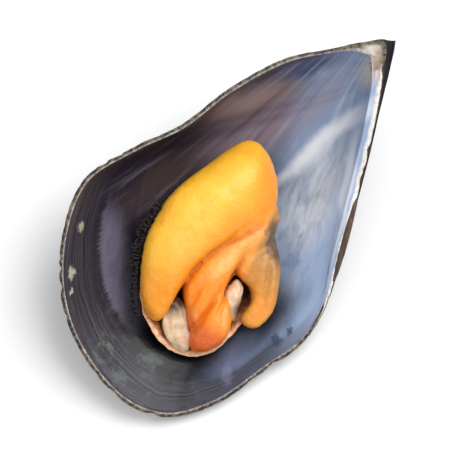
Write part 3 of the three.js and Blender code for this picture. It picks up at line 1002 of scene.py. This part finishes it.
class Lobes:
    """The grid that the lobes are worked out on, with the bed that they lie on."""

    def __init__(self, low, high, cell, beds):
        self.low, self.cell = np.array(low, float), cell
        axes = [np.arange(a, b, cell) for a, b in zip(low, high)]
        self.x, self.y = np.meshgrid(axes[0], axes[1], indexing="ij")
        self.z = axes[2][None, None, :]
        floor, skirt = beds
        bed = height_under(floor, self.x, self.y, -30)
        self.bed = np.maximum(bed, height_under(skirt, self.x, self.y, -30))[..., None]
        flat = np.stack([self.x.ravel(), self.y.ravel()], 1)
        self.broad = ripple(flat, 0.22, 1).reshape(self.x.shape)[..., None]
        self.small = ripple(flat, 0.75, 2).reshape(self.x.shape)[..., None]

    def lobe(self, outline, slopes_from, crown, edge, foot, grow, fullness, broad, small, creases):
        """The lobe's field: about how far each point lies inside it."""
        rise = swell(outline_distance(outline, self.x, self.y) + grow, self.cell)
        level = edge + LOBE_SLOPE * np.minimum(0, self.x - slopes_from) * (1 - np.maximum(rise, 0))
        rise = (np.sign(rise) * np.abs(rise) ** fullness)[..., None]
        level = level[..., None]
        half = np.where(self.z > level, crown - edge, edge - foot)
        field = (half**2 * rise - (self.z - level) ** 2) / (2 * half)
        field = field + broad * self.broad + small * self.small
        for crease in creases:
            field -= self.crease(*crease)
        return field

    def crease(self, start, end, depth, width):
        """A soft crease along a line, to take off a field."""
        along = np.array(end, float) - start
        x, y = self.x - start[0], self.y - start[1]
        share = np.clip((x * along[0] + y * along[1]) / (along @ along), 0, 1)
        away = np.hypot(x - share * along[0], y - share * along[1])
        fade = np.sin(math.pi * np.clip(share * 0.9 + 0.05, 0, 1))
        return (depth * fade * np.exp(-((away / width) ** 2)))[..., None] * (self.z > self.bed)

    def net(self, field):
        return net_over(np.minimum(field, self.z - self.bed - MEAT_CLEARANCE), self.low, self.cell)


def joined(a, b, blend):
    """The union of two fields, rounded over the blend where they meet."""
    share = np.clip(0.5 + 0.5 * (a - b) / blend, 0, 1)
    return b * (1 - share) + a * share + blend * share * (1 - share)


def meat_finish(p, colour, relief, depth, weight, gloss):
    return p.finish({
        "Base Color": colour,
        "Roughness": gloss,
        "Coat Weight": 0.35,
        "Coat Roughness": 0.12,
        "Coat IOR": 1.36,
        "Subsurface Weight": weight,
        "Subsurface Radius": (0.0028, 0.0012, 0.0004),
        "Subsurface Scale": 0.7,
        "Normal": p.bump(relief, depth, 0.5),
    })


def lobe_colour(p, place, settings):
    """Yellow on the belly side with painted highlights along its crown, orange towards the hinge and at
    both ends.
    """
    x, y, _ = p.parts(place)
    towards_hinge = (y + (x - 44) * 0.3).between(-9.0, 2.0)
    colour = p.mix(towards_hinge, rgba(settings.yellow), rgba(settings.orange))
    # Paler yellow along the crown: painted highlights.
    colour = p.with_ovals(colour, place, (
        (40, -7.5, 12, 4.5, -10, 0.9, 0.6, "ffcb48"), (47, -6.5, 9, 4.2, -4, 0.9, 0.6, "fdc14c")))
    colour = p.mix(x.between(52, 61) * 0.75, colour, "f09a16")
    return p.with_ovals(colour, place, (
        (31.5, -1.2, 7.5, 4.2, 30, 0.8, 0.9, "fa9406"), (29, -6.5, 3.5, 2.6, 40, 0.9, 0.5, "f8a41a")))


def body_colour(p, place, settings):
    """Light where it leaves the groove, painted highlights along its ridges, red-orange at its low end,
    painted shade along its creases.
    """
    x, _, _ = p.parts(place)
    colour = p.mix(x.between(45, 51), "f3a042", "fe8c04")
    # A pale streak along the ridge is painted highlight; the orange oval is the meat's own colour.
    colour = p.with_ovals(colour, place, (
        (46.5, 0.6, 7, 1.8, -8, 0.8, 0.6, "f8b45c"), (52, 3.6, 5, 1.6, 24, 0.8, 0.6, "ff8a00")))
    colour = p.mix(x.between(55, 58.5) * 0.9, colour, rgba(settings.deep_orange))
    # Pale glints on the low end: painted highlights.
    colour = p.with_ovals(colour, place, (
        (56.5, 2.0, 2.2, 0.7, 60, 0.8, 0.55, "ffab58"), (54, 6.2, 3, 0.8, 30, 0.8, 0.6, "f8b877")))
    # Dark lines along the creases: painted shade.
    return p.with_ovals(colour, p.place(), (
        (54.5, 3.3, 6, 0.55, 3, 0.9, 0.55, "b9560a"), (48.8, 3.8, 7, 0.5, 12, 0.9, 0.55, "b9640f")))


def flap_colour(p, place, folds):
    """Tan at its root, orange at its hooked end."""
    x, _, _ = p.parts(place)
    colour = p.mix(x.between(42, 49), "b9823f", "e2952f")
    colour = p.with_ovals(colour, place, [(49.5, 10.4, 3.2, 1.6, 10, 0.8, 0.7, "f0902a")])
    return p.mix(folds.between(0.5, 0.7) * 0.35, colour, "c8762a")


def mantle_paint(settings):
    """The lobe, the body and the flap, with the groove and the bruise between them."""
    p = Paint("cooked mantle")
    still = p.place()
    place = p.jitter(still, 0.3, 1.4)
    x, y, z = p.parts(place)
    mottle = p.noise(still, 0.45, 4.0, 0.6)
    granule = p.noise(still, 2.6, 3.0, 0.6)
    folds = p.noise(p.turned(place, (0, 0, 0), -16.0, (5, 0.9, 1)), 0.7, 4.0, 0.6)

    # The groove runs down between lobe and body.
    groove_y = x.between(36, 50) * -4.3 + x.between(53, 58) * 1.4 + 2.0
    over_groove = (y - groove_y).between(-0.5, 0.7)
    colour = p.mix(over_groove, lobe_colour(p, place, settings), body_colour(p, place, settings))
    # Painted shade along the groove: a darker orange line down it.
    shaded_groove = abs(y - groove_y).between(1.0, 0.1) * x.between(34, 40)
    colour = p.mix(shaded_groove * 0.75, colour, "c96c08")
    in_flap = (y - 4.0 - (x - 44) * 0.2).between(-0.3, 1.0) * x.between(54, 52)
    colour = p.mix(in_flap, colour, flap_colour(p, place, folds))

    # The grey-brown bruise where lobe and flap part, and dark brown painted shade low down on the meat.
    bruised = p.jitter(still, 0.5, 2.4)
    colour = p.with_ovals(colour, bruised, [(38.6, 5.6, 5.4, 2.1, 42, 0.6, 0.85, "3b302c")])
    # Painted shade: dark brown low down, near the skirt.
    colour = p.mix(z.between(-2.6, -5.6) * 0.8, colour, "5d2c10")
    colour = p.mix(mottle.between(0.5, 0.8) * 0.18, colour, "ffcb66")
    colour = p.mix(mottle.between(0.5, 0.25) * 0.2, colour, "e07400")
    # Small pale specks: painted highlights on the wet meat.
    colour = p.mix(granule.between(0.52, 0.72) * 0.16, colour, "ffdb86")
    relief = mottle * 0.5 + folds * 0.4 * over_groove + granule * 0.2
    return meat_finish(p, colour, relief, 0.0012, 0.16, 0.34 + granule * 0.14 + shaded_groove * 0.3)


def pale_paint(settings, name, root_x, root_y, angle):
    """Cream meat with fibres along an angle; painted shade makes it near-black at its root, where it
    meets the lobes, and browner low down.
    """
    p = Paint(name)
    place = p.place()
    _, _, z = p.parts(place)
    fibres = p.noise(p.turned(place, (root_x, root_y, 0), angle, (3.2, 0.35, 1)), 1.0, 3.0, 0.6)
    mottle = p.noise(place, 0.9, 3.0)
    colour = p.mix(fibres.between(0.2, 0.75), "cda67e", rgba(settings.cream))
    colour = p.mix(mottle.between(0.5, 0.75) * 0.5, colour, "e9c3b8")
    # Near-black at the root, where it meets the lobes: painted shade.
    colour = p.with_ovals(colour, place, [(root_x, root_y, 3.4, 2.6, 0, 0.8, 0.95, "35170c")])
    # Browner low down: painted shade.
    colour = p.mix(z.between(-1.9, -3.6) * 0.85, colour, "7a4526")
    return meat_finish(p, colour, fibres * 0.6 + mottle, 0.0005, 0.3, 0.26 + mottle * 0.12)


def fringe_paint(settings):
    """Near-black, wet papillae with paler tips."""
    p = Paint("fringe")
    tip, place = p.value("tip"), p.place()
    blotch = p.noise(place, 0.9, 2.0)
    colour = p.mix(tip.between(0.5, 1.0) * 0.4, rgba(settings.dark), "4a3c3c")
    colour = p.mix(blotch.between(0.55, 0.7) * 0.4, colour, "4a3028")
    return p.finish({
        "Base Color": colour,
        "Roughness": 0.5 + blotch * 0.1,
        "Coat Weight": 0.15,
        "Coat Roughness": 0.1,
        "IOR": 1.35,
    })


PAPILLAE = 120
PAPILLA_RINGS = 7
PAPILLA_SIDES = 6
FRINGE_FROM = (45, -4.5)  # the fringe lies past this x and on the belly side of this y
FRINGE_FOOT = (0.15, -2.7)  # the inner row's foot: how far outside the skirt, and its height
FRINGE_OUTER = (0.7, -0.9)  # from the inner row to the outer one


def papilla(foot, outwards, number, random):
    """Points of one papilla: rings from its foot on, and its tip last."""
    lean = outwards + random.normal(0, 0.35, 2)
    reach = np.array([*lean, random.uniform(0.1, 0.9)])
    reach /= np.linalg.norm(reach)
    size = random.uniform(0.5, 1.2)
    droop = np.array([*random.normal(0, 0.3, 2), random.uniform(-0.7, 0.1)])
    radius = random.uniform(0.16, 0.3)
    side = np.cross(reach, [0, 0, 1])
    side /= np.linalg.norm(side)
    top = np.cross(side, reach)
    t = np.linspace(0, 1, PAPILLA_RINGS)[:, None, None]
    angle = (2 * math.pi * np.arange(PAPILLA_SIDES) / PAPILLA_SIDES)[None, :, None]
    centre = foot + reach * size * t + droop * size * t * t * 0.5
    thick = radius * (1 - 0.75 * t**1.5) * (1 + 0.25 * np.sin(9 * t + number))
    rings = centre + thick * (side * np.cos(angle) + top * np.sin(angle))
    return np.vstack([rings.reshape(-1, 3), centre[-1] + reach * radius * 0.4])


def fringe_surface():
    """Short wrinkled papillae in two rows along the skirt's belly edge."""
    random = np.random.default_rng(11)
    edge = closed_outline(SKIRT_OUTLINE, 720)
    inwards = inward(edge)
    fringed = np.flatnonzero((edge[:, 0] > FRINGE_FROM[0]) & (edge[:, 1] < FRINGE_FROM[1]))
    fringed = fringed[np.argsort(edge[fringed, 0])]
    share = np.linspace(0, 1, PAPILLAE)
    chosen = fringed[np.round(share * (len(fringed) - 1)).astype(int)]

    tip = PAPILLA_RINGS * PAPILLA_SIDES
    last = tip - PAPILLA_SIDES
    skin = ring_faces(PAPILLA_RINGS, PAPILLA_SIDES)
    skin += [(last + k, last + (k + 1) % PAPILLA_SIDES, tip) for k in range(PAPILLA_SIDES)]
    skin.append(tuple(reversed(range(PAPILLA_SIDES))))
    points, faces = [], []
    for number, at in enumerate(chosen):
        outer = number % 2
        away = FRINGE_FOOT[0] + FRINGE_OUTER[0] * outer
        foot = np.array([*(edge[at] - inwards[at] * away), FRINGE_FOOT[1] + FRINGE_OUTER[1] * outer])
        points.append(papilla(foot, -inwards[at], number, random))
        start = number * (tip + 1)
        faces += [tuple(start + k for k in face) for face in skin]
    towards_tip = np.append(np.repeat(np.linspace(0, 1, PAPILLA_RINGS), PAPILLA_SIDES), 1)
    return np.concatenate(points), faces, {"tip": np.tile(towards_tip, PAPILLAE)}


# ---- operators --------------------------------------------------------------------------------


class MUSSEL_OT_valve(bpy.types.Operator):
    """Grow the valve from its rim and lay it on the table"""

    bl_idname = "mussel.valve"
    bl_label = "Valve"

    def execute(self, context):
        settings = context.scene.mussel_valve
        points, faces, values = valve_surface(settings)
        add_piece("valve", worn_flat(points), faces, values, shell_paint(settings),
                  ["shell_valve"])
        return {"FINISHED"}


class MUSSEL_OT_ligament(bpy.types.Operator):
    """Lay the ligament along the hinge margin"""

    bl_idname = "mussel.ligament"
    bl_label = "Ligament"

    def execute(self, context):
        points, faces = ligament_surface()
        add_piece("ligament", points, faces, {}, ligament_paint(), ["hinge_ligament"])
        return {"FINISHED"}


class MUSSEL_OT_skirt(bpy.types.Operator):
    """Lay the mantle skirt on the hollow's floor"""

    bl_idname = "mussel.skirt"
    bl_label = "Skirt"

    def execute(self, context):
        settings = context.scene.mussel_meat
        points, faces, values = skirt_surface(hollow_tree())
        add_piece("skirt", points, faces, values, skirt_paint(settings), ["mantle_skirt"])
        return {"FINISHED"}


PALE_PIECES = (  # name, node, shape, x and y of the painted shade at its root, angle of the fibres
    ("adductor", "adductor_muscle", ADDUCTOR, 56.6, -1.4, 48),
    ("gill", "gill_fold", GILL_FOLD, 51, 8.2, 40),
)


class MUSSEL_OT_meat(bpy.types.Operator):
    """Swell the cooked lobes over the skirt that they lie in"""

    bl_idname = "mussel.meat"
    bl_label = "Meat"

    def execute(self, context):
        settings = context.scene.mussel_meat
        cell = settings.fineness / MM
        floor = hollow_tree()
        points, faces, _ = skirt_surface(floor)
        beds = (floor, tree_of(points, faces))

        large = Lobes(*MEAT_SPACE, cell, beds)
        blend = (0.8 + 1.2 * (1 - smoothstep(large.x, 36, 46)))[..., None]
        field = joined(large.lobe(**MANTLE_LOBE), large.lobe(**BODY_LOBE), blend)
        points, faces = large.net(joined(field, large.lobe(**MANTLE_FLAP), blend))
        piece = add_piece("mantle", points, faces, {}, mantle_paint(settings),
                          ["mantle_lobe", "body_lobe", "mantle_flap"])
        soften(piece, 14)

        fine = Lobes(*PALE_MEAT_SPACE, cell * 0.6, beds)
        for name, node, shape, root_x, root_y, angle in PALE_PIECES:
            points, faces = fine.net(fine.lobe(**shape))
            paint = pale_paint(settings, name + " cream", root_x, root_y, angle)
            piece = add_piece(name, points, faces, {}, paint, [node])
            soften(piece, 4)
        return {"FINISHED"}


class MUSSEL_OT_fringe(bpy.types.Operator):
    """Set the dark papillae along the skirt's belly edge"""

    bl_idname = "mussel.fringe"
    bl_label = "Fringe"

    def execute(self, context):
        settings = context.scene.mussel_meat
        points, faces, values = fringe_surface()
        add_piece("fringe", points, faces, values, fringe_paint(settings), [])
        return {"FINISHED"}


# ---- the stage --------------------------------------------------------------------------------

CAMERA_FROM = np.array([0.12, -0.10, 0.99])  # towards the camera, in the shell's frame
CAMERA_CLIP = (0.01, 20)
FLOOR_REACH = 3.0
SKY = (0.97, 0.98, 1.0, 1)
SKY_STRENGTH = 0.6
LAMPS = (  # name, place from the mussel's middle, size, power
    ("key", (-0.3, 0.15, 0.5), 0.5, 3.2),
    ("fill", (0.4, -0.3, 0.35), 0.5, 0.8),
    ("back", (0.1, 0.5, 0.3), 0.4, 0.35),
)


def add_floor(settings):
    p = Paint("pale floor")
    tooth = p.noise(p.node("ShaderNodeTexCoord", {}, {}, "Object"), 40.0, 2.0)
    colour = p.mix(tooth * 0.03, rgba(settings.floor), "e8e8e8")
    mesh = bpy.data.meshes.new("floor")
    corners = [(x * FLOOR_REACH, y * FLOOR_REACH, 0) for x, y in ((-1, -1), (1, -1), (1, 1), (-1, 1))]
    mesh.from_pydata(corners, [], [(0, 1, 2, 3)])
    mesh.materials.append(p.finish({"Base Color": colour, "Roughness": 0.7, "Specular IOR Level": 0.2}))
    floor = bpy.data.objects.new("floor", mesh)
    bpy.context.scene.collection.objects.link(floor)


def add_lights():
    world = bpy.data.worlds.new("studio")
    world.use_nodes = True
    background = world.node_tree.nodes["Background"]
    background.inputs["Color"].default_value = SKY
    background.inputs["Strength"].default_value = SKY_STRENGTH
    bpy.context.scene.world = world
    low, high = (Vector(corner) for corner in CAD_BOX)
    middle = (low + high) / 2
    for name, from_middle, size, power in LAMPS:
        data = bpy.data.lights.new(name, "AREA")
        data.size = size
        data.energy = power
        lamp = bpy.data.objects.new(name, data)
        lamp.location = middle + Vector(from_middle)
        lamp.rotation_mode = "QUATERNION"
        lamp.rotation_quaternion = Vector(from_middle).to_track_quat("Z", "Y")
        bpy.context.scene.collection.objects.link(lamp)


def add_camera(settings):
    """A camera that looks down on the rim and frames all of it."""
    towards = Vector(REST_TURN @ CAMERA_FROM).normalized()
    turn = towards.to_track_quat("Z", "Y")
    right, up = turn @ Vector((1, 0, 0)), turn @ Vector((0, 1, 0))
    rim = lay_down(np.c_[closed_outline(RIM, 120), np.zeros(120)])
    seen = np.stack([rim @ np.array(right), rim @ np.array(up)], 1)
    span = (seen.max(0) - seen.min(0)).max()
    aim_at = (seen.max(0) + seen.min(0)) / 2
    depth = float((rim @ np.array(towards)).mean())
    target = right * aim_at[0] + up * aim_at[1] + towards * depth

    data = bpy.data.cameras.new("camera")
    data.lens = settings.lens
    data.clip_start, data.clip_end = CAMERA_CLIP
    half_angle = math.atan(data.sensor_width / 2 / data.lens)
    camera = bpy.data.objects.new("camera", data)
    camera.location = target + towards * (span / settings.fill / 2 / math.tan(half_angle))
    camera.rotation_mode = "QUATERNION"
    camera.rotation_quaternion = turn
    bpy.context.scene.collection.objects.link(camera)
    bpy.context.scene.camera = camera


class MUSSEL_OT_stage(bpy.types.Operator):
    """Set out the floor, the lamps and the camera"""

    bl_idname = "mussel.stage"
    bl_label = "Stage"

    def execute(self, context):
        settings = context.scene.mussel_stage
        add_floor(settings)
        add_lights()
        add_camera(settings)
        context.scene.view_settings.view_transform = "Standard"
        return {"FINISHED"}


class MUSSEL_PT_panel(bpy.types.Panel):
    """The mussel's sizes, colours and makers"""

    bl_idname = "MUSSEL_PT_panel"
    bl_label = "Mussel"
    bl_space_type = "VIEW_3D"
    bl_region_type = "UI"
    bl_category = "Mussel"

    def draw(self, context):
        for group in (context.scene.mussel_valve, context.scene.mussel_meat, context.scene.mussel_stage):
            box = self.layout.box()
            for name in group.__annotations__:
                box.prop(group, name)
        for operator in OPERATORS:
            self.layout.operator(operator.bl_idname)


OPERATORS = (
    MUSSEL_OT_valve, MUSSEL_OT_ligament, MUSSEL_OT_skirt, MUSSEL_OT_meat, MUSSEL_OT_fringe,
    MUSSEL_OT_stage,
)
GROUPS = {
    "mussel_valve": MusselValveSettings,
    "mussel_meat": MusselMeatSettings,
    "mussel_stage": MusselStageSettings,
}


def register():
    for name, group in GROUPS.items():
        bpy.utils.register_class(group)
        setattr(bpy.types.Scene, name, PointerProperty(type=group))
    for cls in (*OPERATORS, MUSSEL_PT_panel):
        bpy.utils.register_class(cls)


def unregister():
    for cls in reversed((*OPERATORS, MUSSEL_PT_panel)):
        bpy.utils.unregister_class(cls)
    for name, group in reversed(GROUPS.items()):
        delattr(bpy.types.Scene, name)
        bpy.utils.unregister_class(group)


def main():
    register()
    bpy.ops.mussel.valve()
    bpy.ops.mussel.ligament()
    bpy.ops.mussel.skirt()
    bpy.ops.mussel.meat()
    bpy.ops.mussel.fringe()
    bpy.ops.mussel.stage()


if __name__ == "__main__":
    main()
